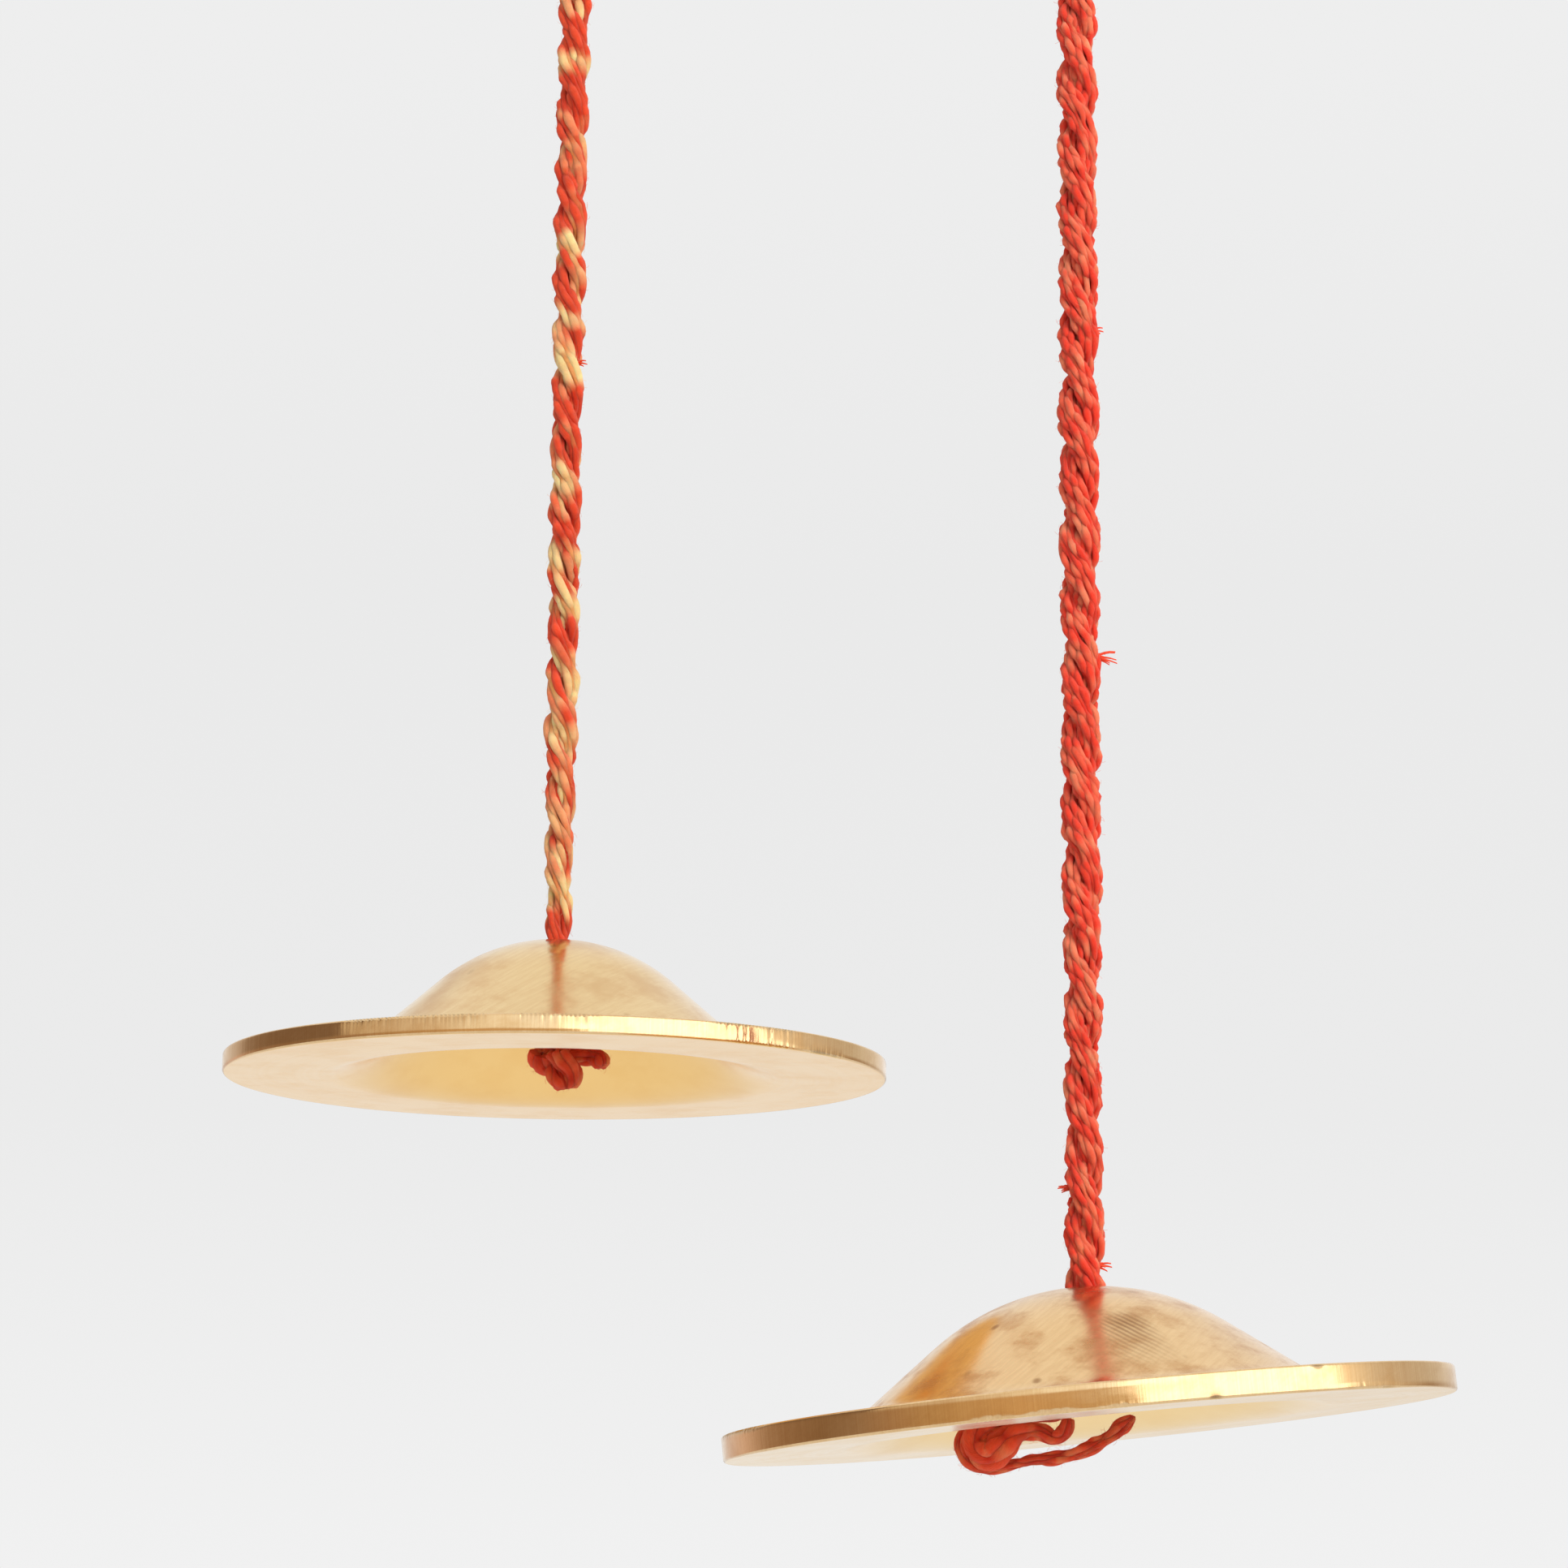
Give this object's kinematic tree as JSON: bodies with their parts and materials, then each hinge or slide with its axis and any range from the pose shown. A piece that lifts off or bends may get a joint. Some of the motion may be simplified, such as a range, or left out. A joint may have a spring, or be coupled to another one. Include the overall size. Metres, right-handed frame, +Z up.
{
  "type": "pair of hand cymbals on a cord",
  "caption": "Small domed brass hand cymbals knotted to the ends of a braided cotton cord and hung by its bight, so that each can swing, turn and tilt.",
  "frame": {"origin": "the underside of the cord's bight, at the middle of the support that it hangs over", "axes": "+Z up, +X from the left cymbal's cord to the right cymbal's, in the plane of the hanging cord"},
  "size_m": [0.1163, 0.0601, 0.1672],
  "materials": {
    "brass": "polished, with fine turning and brush marks",
    "cord_bight": "three-strand cotton braid, red passing into red and cream",
    "cord_red_cream": "three-strand cotton braid, red and cream patches",
    "cord_red": "three-strand cotton braid, orange red",
    "cord_knots": "knotted cotton, dark red"
  },
  "bodies": {
    "bight": {"cord_bight": "cord_bight"},
    "left_upper": {"left_cord_upper": "cord_red_cream"},
    "left_lower": {"left_cord_lower": "cord_red_cream"},
    "left_end": {"left_knot": "cord_knots", "left_tail": "cord_knots", "left_strand": "cord_knots"},
    "left_bell": {"left_cymbal": "brass"},
    "right_upper": {"right_cord_upper": "cord_red"},
    "right_lower": {"right_cord_lower": "cord_red"},
    "right_end": {"right_knot": "cord_knots", "right_tail_long": "cord_knots", "right_tail_short": "cord_knots"},
    "right_bell": {"right_cymbal": "brass"}
  },
  "joints": [
    {"name": "left_swing_side", "type": "hinge", "parent": "bight", "child": "left_upper", "pos_m": [-0.0281, 0, -0.0269], "axis": [0, 1, 0], "range_deg": [-12, 40]},
    {"name": "left_swing_fore", "type": "hinge", "parent": "left_upper", "child": "left_lower", "pos_m": [-0.0281, 0, -0.0449], "axis": [1, 0, 0], "range_deg": [-40, 40]},
    {"name": "left_turn", "type": "hinge", "parent": "left_lower", "child": "left_end", "pos_m": [-0.0281, 0, -0.1162], "axis": [0, 0, 1], "continuous": true},
    {"name": "left_tilt", "type": "hinge", "parent": "left_end", "child": "left_bell", "pos_m": [-0.0281, 0, -0.1162], "axis": [-0.5864, 0.81, 0], "range_deg": [-18, 18]},
    {"name": "right_swing_side", "type": "hinge", "parent": "bight", "child": "right_upper", "pos_m": [0.0281, 0, -0.0269], "axis": [0, 1, 0], "range_deg": [-40, 12]},
    {"name": "right_swing_fore", "type": "hinge", "parent": "right_upper", "child": "right_lower", "pos_m": [0.0281, 0, -0.0449], "axis": [1, 0, 0], "range_deg": [-40, 40]},
    {"name": "right_turn", "type": "hinge", "parent": "right_lower", "child": "right_end", "pos_m": [0.0281, 0, -0.1501], "axis": [0, 0, 1], "continuous": true},
    {"name": "right_tilt", "type": "hinge", "parent": "right_end", "child": "right_bell", "pos_m": [0.0281, 0, -0.1501], "axis": [-0.5864, 0.81, 0], "range_deg": [-10, 23]}
  ]
}
